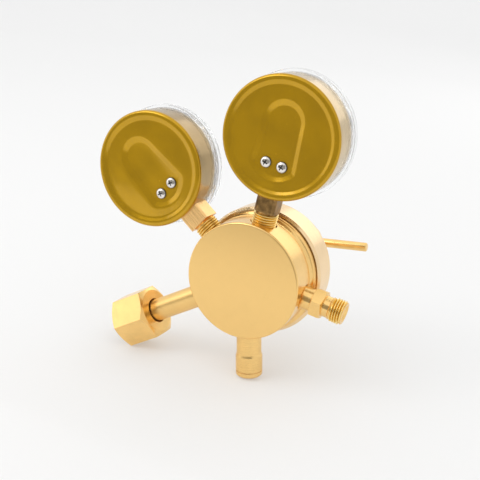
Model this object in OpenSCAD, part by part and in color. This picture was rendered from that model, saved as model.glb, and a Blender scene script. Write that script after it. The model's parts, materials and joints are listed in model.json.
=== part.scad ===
// Single-stage pressure regulator with two gauges, a relief valve, a swivel inlet nut and a tee-bar screw.
// Origin: centre of the body's flat back face. The body axis is Y, and the tee-bar end points to -Y.
// +Z is up, and the relief valve points straight down. All sizes are in millimetres.

/* [Body] */
// Diameter of the round body
body_d = 63.5; // [62:0.5:66]
// Diameter of the flange under the bonnet
flange_d = 67.4; // [66.5:0.1:68.5]
// Distance from the back face to the top of the flange
body_h = 21.9; // [21:0.1:22.2]
// Rounding of the back edge
back_round = 1; // [0.4:0.1:1.5]

/* [Bonnet] */
// Outside diameter of the bonnet skirt
bonnet_d = 71; // [70:0.5:76]
// Distance from the back face to the top of the bonnet neck
bonnet_top = 77; // [76:0.5:78.5]
// Diameter of the bonnet neck
neck_d = 29; // [25:0.5:32]

/* [Adjusting screw] */
// Diameter of the adjusting screw over its thread
screw_d = 16; // [14:0.5:17]
// Diameter of the tee bar
bar_d = 5.4; // [4.5:0.1:6.5]
// Length of the tee bar
bar_len = 80; // [60:1:100]
// Distance from the back face to the tee bar when the screw is backed off
bar_depth = 94.3; // [93.5:0.1:97]

/* [Ports] */
// Diameter of the port threads
port_d = 13.16; // [12:0.02:13.2]
// Direction of the inlet, measured from straight up
inlet_angle = 115; // [110:1:120]
// Direction of the outlet, measured from straight up
outlet_angle = -105; // [-110:1:-98]
// Depth of the inlet axis behind the back face
inlet_depth = 7.5; // [7.2:0.1:8.5]
// Depth of the outlet axis
outlet_depth = 12.9; // [12:0.1:13]
// Depth of the relief valve axis
relief_depth = 9.7; // [9:0.1:11]

/* [Inlet] */
// Diameter of the inlet nipple stem
stem_d = 12.3; // [11:0.1:12.6]
// Distance from the body axis to the near face of the nut
nut_start = 62.5; // [56:0.1:66]
// Length of the nut
nut_len = 22.6; // [22:0.1:26]
// Size of the nut across flats
nut_af = 27; // [26.6:0.1:30]
// Turn of the nut's hexagon about its axis
nut_turn = 30; // [0:1:59]
// Minor diameter of the nut's thread
nut_bore_d = 20.6; // [20:0.1:20.8]

/* [Gauges] */
// Direction of the inlet pressure gauge, measured from straight up
supply_angle = 45; // [42:1:50]
// Direction of the outlet pressure gauge, measured from straight up
delivery_angle = -15; // [-20:1:-12]
// Distance from the body axis to the gauge axis
gauge_rho = 78.4; // [78:0.1:82]
// Diameter of a gauge case
case_d = 63; // [62.6:0.1:63.6]
// Depth of a gauge stem axis
gauge_depth = 11; // [10.8:0.1:11.2]

/* [Hidden] */
$fn = 96;

brass = [0.85, 0.68, 0.36];
bright_brass = [0.93, 0.76, 0.38];
olive_gold = [0.60, 0.48, 0.10];
nickel = [0.78, 0.76, 0.73];
steel = [0.55, 0.55, 0.56];
rubber = [0.12, 0.12, 0.12];
nylon = [0.90, 0.88, 0.80];
clear = [0.85, 0.92, 0.95, 0.35];
bronze = [0.60, 0.42, 0.24];

body_r = body_d / 2;
port_r = port_d / 2;
port_floor = 19;          // how near the body axis the ports are bored
port_mouth = 31;          // where a fitting's thread ends and its shoulder begins
relief_port_r = 5.5;
relief_bore_r = 4.2;
relief_seat = 36;         // face that the relief seal closes on
relief_seal_t = 1.2;
relief_spring_foot = 38.6;
relief_plug_start = 50.2;
outlet_hex_af = 14.4;
outlet_hex = [36.8, 43.3];      // start and end of the outlet's hexagon
outlet_thread = [47.5, 53.7];   // start and end of the outlet's full thread
land_depth = 22.5;        // face that the diaphragm lies on
diaphragm_t = 0.8;
slip_t = 1.2;
spigot_r = 32;            // threaded spigot that carries the bonnet
spigot_bore_r = 29.2;
spigot_top = 27;
chamber_r = 23;           // low pressure chamber
chamber_floor = 18;
valve_bore_r = 7;         // high pressure chamber
valve_floor = 2.5;
nozzle_seat = 10;         // face that the valve closes on
bonnet_foot = 22.4;
clamp_depth = land_depth + diaphragm_t + slip_t;
plate_top = clamp_depth + 1.5;
button_depth = 56;
button_t = 4;
screw_tip = 58.2;
fit_gap = 0.05;           // radial clearance of a running fit
case_r = case_d / 2;
case_back = 1.2;
case_front = 20.7;
case_t = 0.8;
case_round = 1.6;         // rounding of the case's back edge
panel_depth = 2.2;        // sunk panel of the gauge back
tomb_depth = 3.4;         // sunk screw seat of the gauge back
tomb_top_r = 9.75;
tomb_top_z = 8.25;
tomb_foot_x = 11.2;
tomb_foot_z = -16.5;
tomb_low_z = -21;
screw_x = 4.45;
screw_z = -13.8;
flange_top = 8;           // front of the socket flange, where the movement stands
tube_r = 24;
supply_stem = [13, 12.4, 0.9, 38.2];      // stem bar: width, thickness, corner cut and foot
delivery_stem = [11.3, 11.3, 1.5, 38];
gear_m = 0.3;             // gear module
pinion_n = 10;
sector_n = 80;
pinion_pitch_r = gear_m * pinion_n / 2;
sector_pitch_r = gear_m * sector_n / 2;
gear_centres = pinion_pitch_r + sector_pitch_r;
sector_tip_r = sector_pitch_r + 0.17;
pinion_tip_r = pinion_pitch_r + gear_m;
gear_backlash = 0.1;
tail_r = 7.5;
tail_angle = -17;
tail_x = tail_r * cos(tail_angle);
tail_z = -gear_centres + tail_r * sin(tail_angle);
tip_x = 19;
tip_z = -2.5;
pillar_places = [[-7.5, -16], [4, -18.5], [0, 6]];
post_places = [[-5, 5], [5, 5]];

// Turns a shape drawn along +Z so that +Z becomes the forward direction, -Y.
module forward(depth = 0) { rotate([90, 0, 0]) translate([0, 0, depth]) children(); }

// Places a shape drawn along +Z on a port axis.
module on_port(angle, depth) { rotate([0, angle, 0]) translate([0, -depth, 0]) children(); }

// Places a gauge part: gauge axis through the origin, forward is +Z, up is +Y.
module on_gauge(angle) { rotate([0, angle, 0]) translate([0, 0, gauge_rho]) forward() children(); }

module rod(r, z0, z1) { translate([0, 0, z0]) cylinder(r = r, h = z1 - z0); }

module ring(r_out, r_in, z0, z1) {
  difference() {
    rod(r_out, z0, z1);
    rod(r_in, z0 - 1, z1 + 1);
  }
}

module hexagon_bar(af, z0, z1, turn = 0) {
  rotate([0, 0, turn]) translate([0, 0, z0]) cylinder(r = af / sqrt(3), h = z1 - z0, $fn = 6);
}

// Hexagon with both ends turned down to a cone, as a bar-turned nut has.
module chamfered_hexagon(af, z0, z1, turn = 0, chamfer = 0.9) {
  small = af / 2 - chamfer;
  large = af / sqrt(3) + 1;
  slope = (large - small) * 0.5;
  intersection() {
    hexagon_bar(af, z0, z1, turn);
    rotate_extrude() polygon([[0, z0], [small, z0], [large, z0 + slope],
                              [large, z1 - slope], [small, z1], [0, z1]]);
  }
}

// Points of an arc in n equal steps.
function arc(cx, cy, r, a0, a1, n) =
  [for (i = [0:n]) let (a = a0 + (a1 - a0) * i / n) [cx + r * cos(a), cy + r * sin(a)]];

// Coil spring along +Z whose wire touches z = 0 and z = length.
module coil(radius, wire_r, length, turns) {
  sides = 8;
  steps = round(turns * 20);
  span = length - 2 * wire_r;
  points = [for (i = [0:steps], j = [0:sides - 1])
    let (a = 360 * turns * i / steps, b = 360 * j / sides, r = radius + wire_r * cos(b))
    [r * cos(a), r * sin(a), wire_r + span * i / steps + wire_r * sin(b)]];
  walls = [for (i = [0:steps - 1], j = [0:sides - 1])
    let (k = (j + 1) % sides)
    [i * sides + j, (i + 1) * sides + j, (i + 1) * sides + k, i * sides + k]];
  start_cap = [for (j = [0:sides - 1]) j];
  end_cap = [for (j = [sides - 1:-1:0]) steps * sides + j];
  polyhedron(points = points, faces = concat([start_cap], walls, [end_cap]), convexity = 10);
}

// ---- Regulator body ----

module body() {
  color(brass) difference() {
    forward() rotate_extrude() polygon(concat(
      [[0, 0]],
      arc(body_r - back_round, back_round, back_round, -90, 0, 6),
      [[body_r, 16.6]],
      arc(body_r + 2.6, 16.6, 2.6, 180, 117, 6),
      [[flange_d / 2 - 0.5, 19.4], [flange_d / 2, 19.9], [flange_d / 2, body_h],
       [spigot_r, body_h], [spigot_r, spigot_top], [spigot_bore_r, spigot_top],
       [spigot_bore_r, land_depth], [0, land_depth]]));
    forward() rod(chamber_r, chamber_floor, land_depth + 1);
    forward() rod(valve_bore_r, valve_floor, chamber_floor + 1);
    // threaded ports, each with a countersunk mouth
    for (port = [[inlet_angle, inlet_depth, port_r], [outlet_angle, outlet_depth, port_r],
                 [180, relief_depth, relief_port_r], [supply_angle, gauge_depth, port_r],
                 [delivery_angle, gauge_depth, port_r]])
      on_port(port[0], port[1]) {
        rod(port[2], port_floor, 40);
        translate([0, 0, port_mouth - 0.7]) cylinder(r1 = port[2], r2 = port[2] + 1.5, h = 1.5);
      }
    // spot faces that the outlet fitting and the relief valve seat on
    on_port(outlet_angle, outlet_depth) rod(8.2, 31.3, 40);
    on_port(180, relief_depth) rod(7.2, port_mouth, 40);
    // high pressure passages into the valve chamber
    on_port(inlet_angle, inlet_depth) rod(2, 0, port_floor + 1);
    on_port(supply_angle, valve_floor + 5.5) rod(1.2, 0, port_floor + 1);
    // low pressure passages up to the chamber under the diaphragm
    for (port = [[outlet_angle, outlet_depth], [180, relief_depth], [delivery_angle, gauge_depth]])
      rotate([0, port[0], 0]) translate([0, 0, port_floor + 2])
        forward() rod(1.5, port[1], chamber_floor + 1);
  }
}

module bonnet() {
  skirt_r = bonnet_d / 2;
  neck_r = neck_d / 2;
  color(bright_brass) difference() {
    forward() rotate_extrude() polygon(concat(
      [[spigot_r + 0.1, bonnet_foot], [skirt_r - 1.2, bonnet_foot], [skirt_r, bonnet_foot + 1.3]],
      arc(skirt_r - 6, 38, 6, 0, 55, 10),
      [[neck_r + 7.2, 62.5]],
      arc(neck_r + 5.2, 61.5, 2.5, 28, 80, 6),
      arc(neck_r + 1.5, 67, 1.5, 270, 180, 6),
      [[neck_r, bonnet_top - 1], [neck_r - 1, bonnet_top],
       [screw_d / 2 + fit_gap + 1, bonnet_top], [screw_d / 2 + fit_gap, bonnet_top - 1],
       [screw_d / 2 + fit_gap, 62.5], [17, 62.5], [17, 58], [23, 40], [24, 36], [24, clamp_depth],
       [spigot_bore_r - 0.1, clamp_depth], [spigot_bore_r - 0.1, spigot_top + 0.3],
       [spigot_r + 0.1, spigot_top + 0.3]]));
    // breather hole
    rotate([0, 70, 0]) translate([0, -50, 0]) rod(1.25, 10, 40);
  }
}

module adjusting_screw() {
  head_start = bar_depth - 6.3;
  head_end = bar_depth + 5.7;
  head_r = screw_d / 2 + 1.5;
  color(brass) difference() {
    forward() union() {
      translate([0, 0, screw_tip]) cylinder(r1 = 2.4, r2 = 3.4, h = 2.2);
      translate([0, 0, screw_tip + 2.2]) cylinder(r1 = screw_d / 2 - 1.2, r2 = screw_d / 2, h = 1.2);
      rod(screw_d / 2, screw_tip + 3.4, head_start);
      translate([0, 0, head_start]) cylinder(r1 = head_r - 1, r2 = head_r, h = 1);
      rod(head_r, head_start + 1, head_end - 1);
      translate([0, 0, head_end - 1]) cylinder(r1 = head_r, r2 = head_r - 1, h = 1);
    }
    translate([-20, -bar_depth, 0]) rotate([0, 90, 0]) cylinder(d = bar_d, h = 40);
  }
}

module tee_bar() {
  edge = 0.6;
  color(brass) translate([-bar_len / 2, -bar_depth, 0]) rotate([0, 90, 0]) {
    cylinder(d1 = bar_d - 2 * edge, d2 = bar_d, h = edge);
    rod(bar_d / 2, edge, bar_len - edge);
    translate([0, 0, bar_len - edge]) cylinder(d1 = bar_d, d2 = bar_d - 2 * edge, h = edge);
  }
}

module spring_button() {
  color(steel) difference() {
    forward() union() {
      rod(15.5, button_depth, button_depth + 2.5);
      rod(10, button_depth - 3, button_depth + button_t);
    }
    forward() rod(4.5, button_depth + 2, button_depth + button_t + 1);
  }
}

module range_spring() { color(steel) forward(plate_top) coil(13.2, 1.75, button_depth - plate_top, 6.5); }

// ---- Diaphragm ----

module diaphragm() {
  color(rubber) forward() ring(spigot_bore_r - 0.2, 3.3, land_depth, land_depth + diaphragm_t);
}

module slip_ring() {
  color(brass) forward() ring(spigot_bore_r - 0.2, 24.2, land_depth + diaphragm_t, clamp_depth);
}

module diaphragm_plate() {
  color(steel) forward() difference() {
    union() {
      rod(19, land_depth + diaphragm_t, plate_top);
      rod(9.5, plate_top, plate_top + 4);
    }
    rod(3, land_depth, plate_top + 5);
  }
}

module diaphragm_pusher() {
  color(brass) forward() {
    rod(8, land_depth - 1.5, land_depth);
    rod(3, land_depth, plate_top + 3);
  }
}

// ---- Valve ----

module seat_nozzle() {
  color(brass) forward() difference() {
    union() {
      rod(valve_bore_r, nozzle_seat + 0.6, chamber_floor + 0.3);
      rod(2.6, nozzle_seat, nozzle_seat + 0.6);
      hexagon_bar(15.6, chamber_floor + 0.3, chamber_floor + 1.8);
    }
    rod(1.6, nozzle_seat - 1, chamber_floor + 5);
    // groove for the seal
    ring(valve_bore_r + 1, valve_bore_r - 1.2, 13, 14.6);
  }
}

module nozzle_seal() { color(rubber) forward() ring(valve_bore_r, valve_bore_r - 1.2, 13, 14.6); }

module poppet() {
  color(brass) forward() {
    rod(3.4, 6, 8.8);
    rod(1.4, 4.4, 6);
    rod(1, 8.8, land_depth - 1.55);
  }
}

module poppet_seat() { color(nylon) forward() ring(3, 1, 8.8, nozzle_seat - 0.02); }

module poppet_spring() { color(steel) forward(valve_floor) coil(2.4, 0.35, 3.5, 3.5); }

// ---- Inlet ----

module inlet_nipple() {
  collar = nut_start + 5.5;
  color(brass) on_port(inlet_angle, inlet_depth) difference() {
    union() {
      rod(port_r, port_floor, port_mouth - 0.7);
      translate([0, 0, port_mouth - 0.7]) cylinder(r1 = port_r, r2 = stem_d / 2, h = 0.7);
      rod(stem_d / 2, port_mouth, collar);
      rod(9.4, collar, collar + 3);
      translate([0, 0, collar + 3]) cylinder(r1 = 9.4, r2 = 6.8, h = 1);
      rod(6.8, collar + 4, collar + 6);
      translate([0, 0, collar + 6]) cylinder(r1 = 6.8, r2 = 4.6, h = 2.6);
    }
    rod(2.5, port_floor - 1, collar + 10);
    rod(3.4, collar - 1, collar + 10);
  }
}

module inlet_filter() {
  collar = nut_start + 5.5;
  color(bronze) on_port(inlet_angle, inlet_depth) {
    rod(3.4, collar - 1, collar + 6);
    translate([0, 0, collar + 6]) cylinder(r1 = 3.4, r2 = 2.6, h = 1.4);
  }
}

module inlet_nut() {
  shoulder = nut_start + 5.2;
  thread_start = nut_start + 14.6;
  nut_end = nut_start + nut_len;
  color(brass) on_port(inlet_angle, inlet_depth) difference() {
    chamfered_hexagon(nut_af, nut_start, nut_end, nut_turn, 1.4);
    rod(stem_d / 2 + 0.9, nut_start - 1, nut_end);
    rod(nut_bore_d / 2 + 0.8, shoulder, thread_start);
    rod(nut_bore_d / 2, shoulder, nut_end + 1);
    translate([0, 0, nut_end - 1]) cylinder(r1 = nut_bore_d / 2, r2 = nut_bore_d / 2 + 1.1, h = 1.1);
  }
}

// ---- Outlet ----

module outlet_fitting() {
  color(brass) on_port(outlet_angle, outlet_depth) difference() {
    union() {
      rod(port_r, port_floor, port_mouth - 0.7);
      rod(6.2, port_mouth - 1, 37.2);
      chamfered_hexagon(outlet_hex_af, outlet_hex[0], outlet_hex[1], 10, 0.5);
      rod(5.6, outlet_hex[1] - 0.5, outlet_thread[0] - 0.2);
      translate([0, 0, outlet_thread[0] - 0.9]) cylinder(r1 = 5.6, r2 = port_r, h = 0.9);
      rod(port_r, outlet_thread[0], outlet_thread[1]);
      translate([0, 0, outlet_thread[1]]) cylinder(r1 = port_r, r2 = port_r - 0.9, h = 0.9);
    }
    rod(2.4, port_floor - 1, 60);
    translate([0, 0, outlet_thread[1] - 1.6]) cylinder(r1 = 2.4, r2 = 4.6, h = 2.6);
  }
}

// ---- Relief valve ----

module relief_body() {
  color(brass) on_port(180, relief_depth) difference() {
    union() {
      rod(relief_port_r, port_floor, port_mouth);
      rod(6.8, port_mouth, 42.5);
      translate([0, 0, 42.5]) cylinder(r1 = 6.8, r2 = 7.35, h = 2);
      rod(7.35, 44.5, 52.6);
    }
    rod(1.5, port_floor - 1, 40);
    rod(relief_bore_r, relief_seat, 53);
  }
}

module relief_cap() {
  color(brass) on_port(180, relief_depth) difference() {
    union() {
      rod(relief_bore_r, relief_plug_start, 52.9);
      rod(6.95, 52.6, 53);
      rod(7.3, 53, 55);
      translate([0, 0, 55]) cylinder(r1 = 7.3, r2 = 6.2, h = 1.1);
    }
    rod(1.5, 49, 57);
  }
}

module relief_poppet() {
  color(brass) on_port(180, relief_depth) {
    rod(3.9, relief_seat + relief_seal_t, relief_spring_foot);
    rod(1.9, relief_spring_foot, relief_spring_foot + 2.9);
  }
}

module relief_seal() {
  color(rubber) on_port(180, relief_depth) rod(3, relief_seat, relief_seat + relief_seal_t);
}

module relief_spring() {
  color(steel) on_port(180, relief_depth) translate([0, 0, relief_spring_foot])
    coil(2.75, 0.5, relief_plug_start - relief_spring_foot, 5);
}

// ---- Gauges ----

// Outline of the sunk screw seat: an arch on straight sides, closed by a shallow curve.
module tomb_outline(grow = 0) {
  sag = tomb_foot_z - tomb_low_z;
  polygon(concat(
    arc(0, tomb_top_z, tomb_top_r + grow, 0, 180, 24),
    [for (i = [0:12]) let (t = -1 + i / 6)
      [t * (tomb_foot_x + grow), tomb_foot_z - grow - sag * sqrt(max(0, 1 - t * t))]]));
}

module gauge_case(angle, stem) {
  slot_w = stem[0] + 0.4;
  slot_t = stem[1] + 0.4;
  shell = concat(
    [[0, panel_depth], [26.9, panel_depth], [28.3, case_back]],
    arc(case_r - case_round, case_back + case_round, case_round, -90, 0, 8),
    [[case_r, case_front], [case_r - case_t, case_front]],
    arc(case_r - case_round, case_back + case_round, case_round - case_t, 0, -90, 8),
    [[28.6, case_back + case_t], [27.2, panel_depth + case_t], [0, panel_depth + case_t]]);
  color(olive_gold) on_gauge(angle) difference() {
    union() {
      rotate_extrude() polygon(shell);
      translate([0, 0, panel_depth + case_t / 2])
        linear_extrude(tomb_depth - panel_depth + case_t / 2) tomb_outline(case_t);
    }
    translate([0, 0, case_back]) linear_extrude(tomb_depth - case_back) tomb_outline();
    for (side = [-1, 1]) translate([side * screw_x, screw_z, 0]) rod(1.6, 0, 10);
    translate([-slot_w / 2, -case_r - 3, gauge_depth - slot_t / 2]) cube([slot_w, 6, slot_t]);
  }
}

module gauge_lens(angle) {
  color(clear) on_gauge(angle) rotate_extrude() polygon([
    [0, 23.4], [27, 23.2], [29.3, 22.4], [29.3, 21.5], [case_r + 0.1, 21.5], [case_r + 0.1, 17.6],
    [33, 17.6], [33.3, 18], [33.3, 23.6], [32.4, 24.6], [29, 25.1], [0, 25.3]]);
}

module lens_gasket(angle) { color(rubber) on_gauge(angle) ring(case_r, 29.4, case_front, 21.5); }

module gauge_dial(angle) { color("white") on_gauge(angle) ring(30.2, 1.5, 18, 18.6); }

module gauge_pointer(angle) {
  color(rubber) on_gauge(angle) difference() {
    union() {
      rod(2.6, 19.4, 21);
      rotate([0, 0, 225]) translate([0, 0, 19.8]) linear_extrude(0.5)
        polygon([[-8, -1.3], [-8, 1.3], [0, 0.9], [24, 0.25], [24, -0.25], [0, -0.9]]);
    }
    rod(0.8, 19, 22);
  }
}

// Half of the angle that an involute tooth takes up at radius r.
function tooth_half(r, pitch_r, n) =
  let (base_r = pitch_r * cos(20), a = acos(min(1, base_r / r)),
       width = PI * gear_m / 2 - gear_backlash / 2)
  width / (2 * pitch_r) * 180 / PI + (tan(20) - tan(a)) * 180 / PI - 20 + a;

// Points of one tooth at angle c, from its root on one side to its root on the other.
function tooth(c, pitch_r, tip_r, root_r, n) =
  let (base_r = pitch_r * cos(20), start_r = max(base_r, root_r), steps = 4,
       radii = [for (i = [0:steps]) start_r + (tip_r - start_r) * i / steps],
       w = tooth_half(start_r, pitch_r, n))
  concat(
    [[root_r * cos(c - w), root_r * sin(c - w)]],
    [for (i = [0:steps]) let (h = tooth_half(radii[i], pitch_r, n)) radii[i] * [cos(c - h), sin(c - h)]],
    [for (i = [steps:-1:0]) let (h = tooth_half(radii[i], pitch_r, n)) radii[i] * [cos(c + h), sin(c + h)]],
    [[root_r * cos(c + w), root_r * sin(c + w)]]);

module pinion_staff(angle) {
  color(brass) on_gauge(angle) {
    rod(0.8, flange_top, 10.6);
    translate([0, 0, 10.6]) linear_extrude(2) polygon([for (i = [0:pinion_n - 1])
      each tooth(-72 + 36 * i, pinion_pitch_r, pinion_tip_r, pinion_pitch_r - 0.3, pinion_n)]);
    rod(0.8, 12.6, 21);
  }
}

module sector(angle) {
  pitch = 360 / sector_n;
  color(brass) on_gauge(angle) translate([0, -gear_centres, 0]) difference() {
    union() {
      translate([0, 0, 11]) linear_extrude(1.2) {
        polygon(concat([[0, 0]], [for (k = [-9:2])
          each tooth(90 + pitch * k, sector_pitch_r, sector_tip_r, sector_pitch_r - 0.42, sector_n)]));
        circle(r = 2.4);
        rotate(tail_angle) translate([0, -1.3]) square([tail_r, 2.6]);
        translate([tail_x, tail_z + gear_centres]) circle(r = 1.8);
      }
      rod(1, flange_top, 15);
      translate([tail_x, tail_z + gear_centres, 0]) rod(0.8, 11, 13.5);
    }
    // lightening window
    rotate([0, 0, 73]) translate([4, -1.5, 10]) cube([5.5, 3, 4]);
  }
}

module gauge_link(angle) {
  reach = [tip_x - tail_x, tip_z - tail_z];
  color(steel) on_gauge(angle) translate([tail_x, tail_z, 12.4]) linear_extrude(0.9) difference() {
    union() {
      circle(r = 1.8);
      translate(reach) circle(r = 1.8);
      rotate(atan2(reach[1], reach[0])) translate([0, -0.8]) square([norm(reach), 1.6]);
    }
    circle(r = 0.8 + fit_gap);
    translate(reach) circle(r = 0.8 + fit_gap);
  }
}

module bourdon_tube(angle) {
  color(bronze) on_gauge(angle) {
    rotate([0, 0, -2]) rotate_extrude(angle = 253) polygon(
      [for (i = [0:15]) let (a = 360 * i / 16) [tube_r + 1.2 * cos(a), 10.5 + 3.5 * sin(a)]]);
    // end cap with its lug and pin
    rotate([0, 0, -2]) translate([tube_r - 1.6, -4, 6.8]) cube([3.2, 4, 7.4]);
    difference() {
      translate([tip_x - 1.4, tip_z - 1.4, 10.6]) cube([tube_r - 1.6 - tip_x + 1.3, 2.8, 1.6]);
      rotate([0, 0, -2]) translate([tube_r - 1.6, -4, 6.8]) cube([3.2, 4, 7.4]);
    }
    translate([tip_x, tip_z, 0]) rod(0.8, 12.2, 13.5);
  }
}

module movement_plate(z0) {
  difference() {
    translate([0, 0, z0]) linear_extrude(1) polygon([[-10, -19], [-6, 8], [6, 8], [8, -20], [-2, -21.5]]);
    rod(0.8 + fit_gap, 0, 30);
    translate([0, -gear_centres, 0]) rod(1 + fit_gap, 0, 30);
  }
}

module back_plate(angle) { color(brass) on_gauge(angle) movement_plate(flange_top); }

module front_plate(angle) {
  color(brass) on_gauge(angle) {
    movement_plate(14);
    for (p = post_places) translate(p) rod(1.3, 15, 18);
  }
}

module pillars(angle) { color(brass) on_gauge(angle) for (p = pillar_places) translate(p) rod(1.2, 9, 14); }

// Octagonal bar of the gauge stem: width across, thickness front to back, and its corner cut.
module stem_bar(w, t, cut, y0, y1) {
  translate([0, y0, gauge_depth]) rotate([-90, 0, 0]) linear_extrude(y1 - y0) polygon([
    [-w / 2 + cut, -t / 2], [w / 2 - cut, -t / 2], [w / 2, -t / 2 + cut], [w / 2, t / 2 - cut],
    [w / 2 - cut, t / 2], [-w / 2 + cut, t / 2], [-w / 2, t / 2 - cut], [-w / 2, -t / 2 + cut]]);
}

module gauge_socket(angle, stem, tint) {
  bar_end = stem[3];
  floor_z = tomb_depth + case_t;
  color(tint) difference() {
    union() {
      on_port(angle, gauge_depth) {
        rod(port_r, port_floor, bar_end - 0.8);
        translate([0, 0, bar_end - 0.8]) cylinder(r1 = port_r, r2 = port_r - 0.9, h = 1);
      }
      on_gauge(angle) {
        stem_bar(stem[0], stem[1], stem[2], bar_end - gauge_rho, -case_r + 2);
        translate([-7, -case_r + 2, floor_z]) cube([14, 6.7, 12.6]);
        translate([-8, -case_r + 7, floor_z]) cube([16, 15, flange_top - floor_z]);
      }
    }
    on_port(angle, gauge_depth) rod(1.2, port_floor - 1, 53);
    on_gauge(angle) for (side = [-1, 1]) translate([side * screw_x, screw_z, 0]) rod(1.5, 0, 10);
  }
}

module back_screws(angle) {
  head_r = 2.95;
  crown = 1.7;
  color(nickel) on_gauge(angle) for (side = [-1, 1]) translate([side * screw_x, screw_z, 0]) {
    rod(1.5, tomb_depth, flange_top - 0.2);
    difference() {
      rotate_extrude() polygon(concat([[0, tomb_depth], [head_r, tomb_depth]],
        [for (i = [0:10]) let (a = 9 * i) [head_r * cos(a), tomb_depth - 0.3 - (crown - 0.3) * sin(a)]]));
      for (turn = [20, 110]) rotate([0, 0, turn]) translate([-1.5, -0.3, 0]) cube([3, 0.6, 3.3]);
    }
  }
}

body();
bonnet();
adjusting_screw();
tee_bar();
spring_button();
range_spring();
diaphragm();
slip_ring();
diaphragm_plate();
diaphragm_pusher();
seat_nozzle();
nozzle_seal();
poppet();
poppet_seat();
poppet_spring();
inlet_nipple();
inlet_nut();
inlet_filter();
outlet_fitting();
relief_body();
relief_cap();
relief_poppet();
relief_seal();
relief_spring();
gauge_case(supply_angle, supply_stem);  // supply_gauge_case
gauge_lens(supply_angle);  // supply_gauge_lens
lens_gasket(supply_angle);  // supply_lens_gasket
gauge_dial(supply_angle);  // supply_dial
gauge_pointer(supply_angle);  // supply_pointer
pinion_staff(supply_angle);  // supply_pinion_staff
sector(supply_angle);  // supply_sector
gauge_link(supply_angle);  // supply_link
bourdon_tube(supply_angle);  // supply_bourdon_tube
back_plate(supply_angle);  // supply_back_plate
front_plate(supply_angle);  // supply_front_plate
pillars(supply_angle);  // supply_pillars
gauge_socket(supply_angle, supply_stem, brass);  // supply_gauge_socket
back_screws(supply_angle);  // supply_back_screws
gauge_case(delivery_angle, delivery_stem);  // delivery_gauge_case
gauge_lens(delivery_angle);  // delivery_gauge_lens
lens_gasket(delivery_angle);  // delivery_lens_gasket
gauge_dial(delivery_angle);  // delivery_dial
gauge_pointer(delivery_angle);  // delivery_pointer
pinion_staff(delivery_angle);  // delivery_pinion_staff
sector(delivery_angle);  // delivery_sector
gauge_link(delivery_angle);  // delivery_link
bourdon_tube(delivery_angle);  // delivery_bourdon_tube
back_plate(delivery_angle);  // delivery_back_plate
front_plate(delivery_angle);  // delivery_front_plate
pillars(delivery_angle);  // delivery_pillars
gauge_socket(delivery_angle, delivery_stem, nickel);  // delivery_gauge_socket
back_screws(delivery_angle);  // delivery_back_screws
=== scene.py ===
"""Looks of a brass gas pressure regulator with two gauges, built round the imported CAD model."""

import json
import math

import bmesh
import bpy
from mathutils import Matrix, Vector


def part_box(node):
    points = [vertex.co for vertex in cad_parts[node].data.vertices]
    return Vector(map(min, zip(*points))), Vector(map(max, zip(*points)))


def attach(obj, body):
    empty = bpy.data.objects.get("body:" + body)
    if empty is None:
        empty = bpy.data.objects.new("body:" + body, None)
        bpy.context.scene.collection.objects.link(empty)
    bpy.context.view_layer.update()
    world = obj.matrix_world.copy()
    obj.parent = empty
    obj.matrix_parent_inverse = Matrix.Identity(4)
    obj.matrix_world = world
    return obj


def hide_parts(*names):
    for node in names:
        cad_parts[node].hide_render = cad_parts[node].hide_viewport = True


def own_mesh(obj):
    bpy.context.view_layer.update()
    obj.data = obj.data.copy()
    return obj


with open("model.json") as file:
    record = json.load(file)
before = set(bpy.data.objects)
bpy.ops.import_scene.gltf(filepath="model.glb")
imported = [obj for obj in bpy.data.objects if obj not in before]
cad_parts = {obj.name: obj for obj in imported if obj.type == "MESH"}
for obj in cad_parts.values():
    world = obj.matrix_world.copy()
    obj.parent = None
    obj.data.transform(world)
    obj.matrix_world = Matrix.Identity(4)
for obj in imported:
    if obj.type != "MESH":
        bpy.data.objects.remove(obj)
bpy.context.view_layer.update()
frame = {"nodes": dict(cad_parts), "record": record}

MM = 0.001
BRASS = (1.0, 0.665, 0.255)
BRIGHT_BRASS = (1.0, 0.74, 0.43)
PALE_BRASS = (0.95, 0.60, 0.25)
THREAD_BRASS = (0.98, 0.74, 0.28)
OLIVE_GOLD = (0.53, 0.298, 0.001)
# Painted light and shade: one polished gold side, as a darker copy for the supply gauge and a lighter copy
# for the delivery gauge.
SIDE_GOLD_WITH_PAINTED_LIGHT_AND_SHADE = {"supply": (0.40, 0.28, 0.125), "delivery": (0.60, 0.45, 0.24)}
DULL_NICKEL = (0.18, 0.105, 0.038)
NICKEL = (0.80, 0.77, 0.74)
GLOW_LOW, GLOW_HIGH = 0.80, 1.16
PORT_R, THREAD_ROOT_R, PORT_PITCH = 6.58 * MM, 5.72 * MM, 1.34 * MM
# Painted shade in thread roots: darker inside the first radius, full colour outside the second.
ROOT_PAINTED_SHADE_R, CREST_UNSHADED_R = 5.8 * MM, 6.5 * MM
STEM_DEPTH = 11.0 * MM
SHY = 0.02 * MM  # how far a ridge stays inside the CAD surface
SCREW_R, SCREW_ROOT_R, SCREW_PITCH = 8.0 * MM, 7.2 * MM, 1.5 * MM
NUT_R, NUT_ROOT_R, NUT_PITCH = 10.3 * MM, 10.95 * MM, 1.814 * MM
STEM_THREAD = 29.5 * MM, 37.2 * MM
OUTLET_THREAD = 48.0 * MM, 53.8 * MM
SCREW_THREAD_START, SCREW_HEAD_HALF = 63.5 * MM, 7.2 * MM
NUT_THREAD_HALF = 3.0 * MM


# ---------------------------------------------------------------- where things are


def mount(name):
    return next(m for m in frame["record"]["mounts"] if m["name"] == name)


def middle(node):
    low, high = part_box(node)
    return (low + high) / 2


def port_frame(angle, depth):
    """Local +Z leaves the body axis at this angle from straight up, at this depth from the back face."""
    return Matrix.Rotation(angle, 4, "Y") @ Matrix.Translation((0, -depth, 0))


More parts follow.
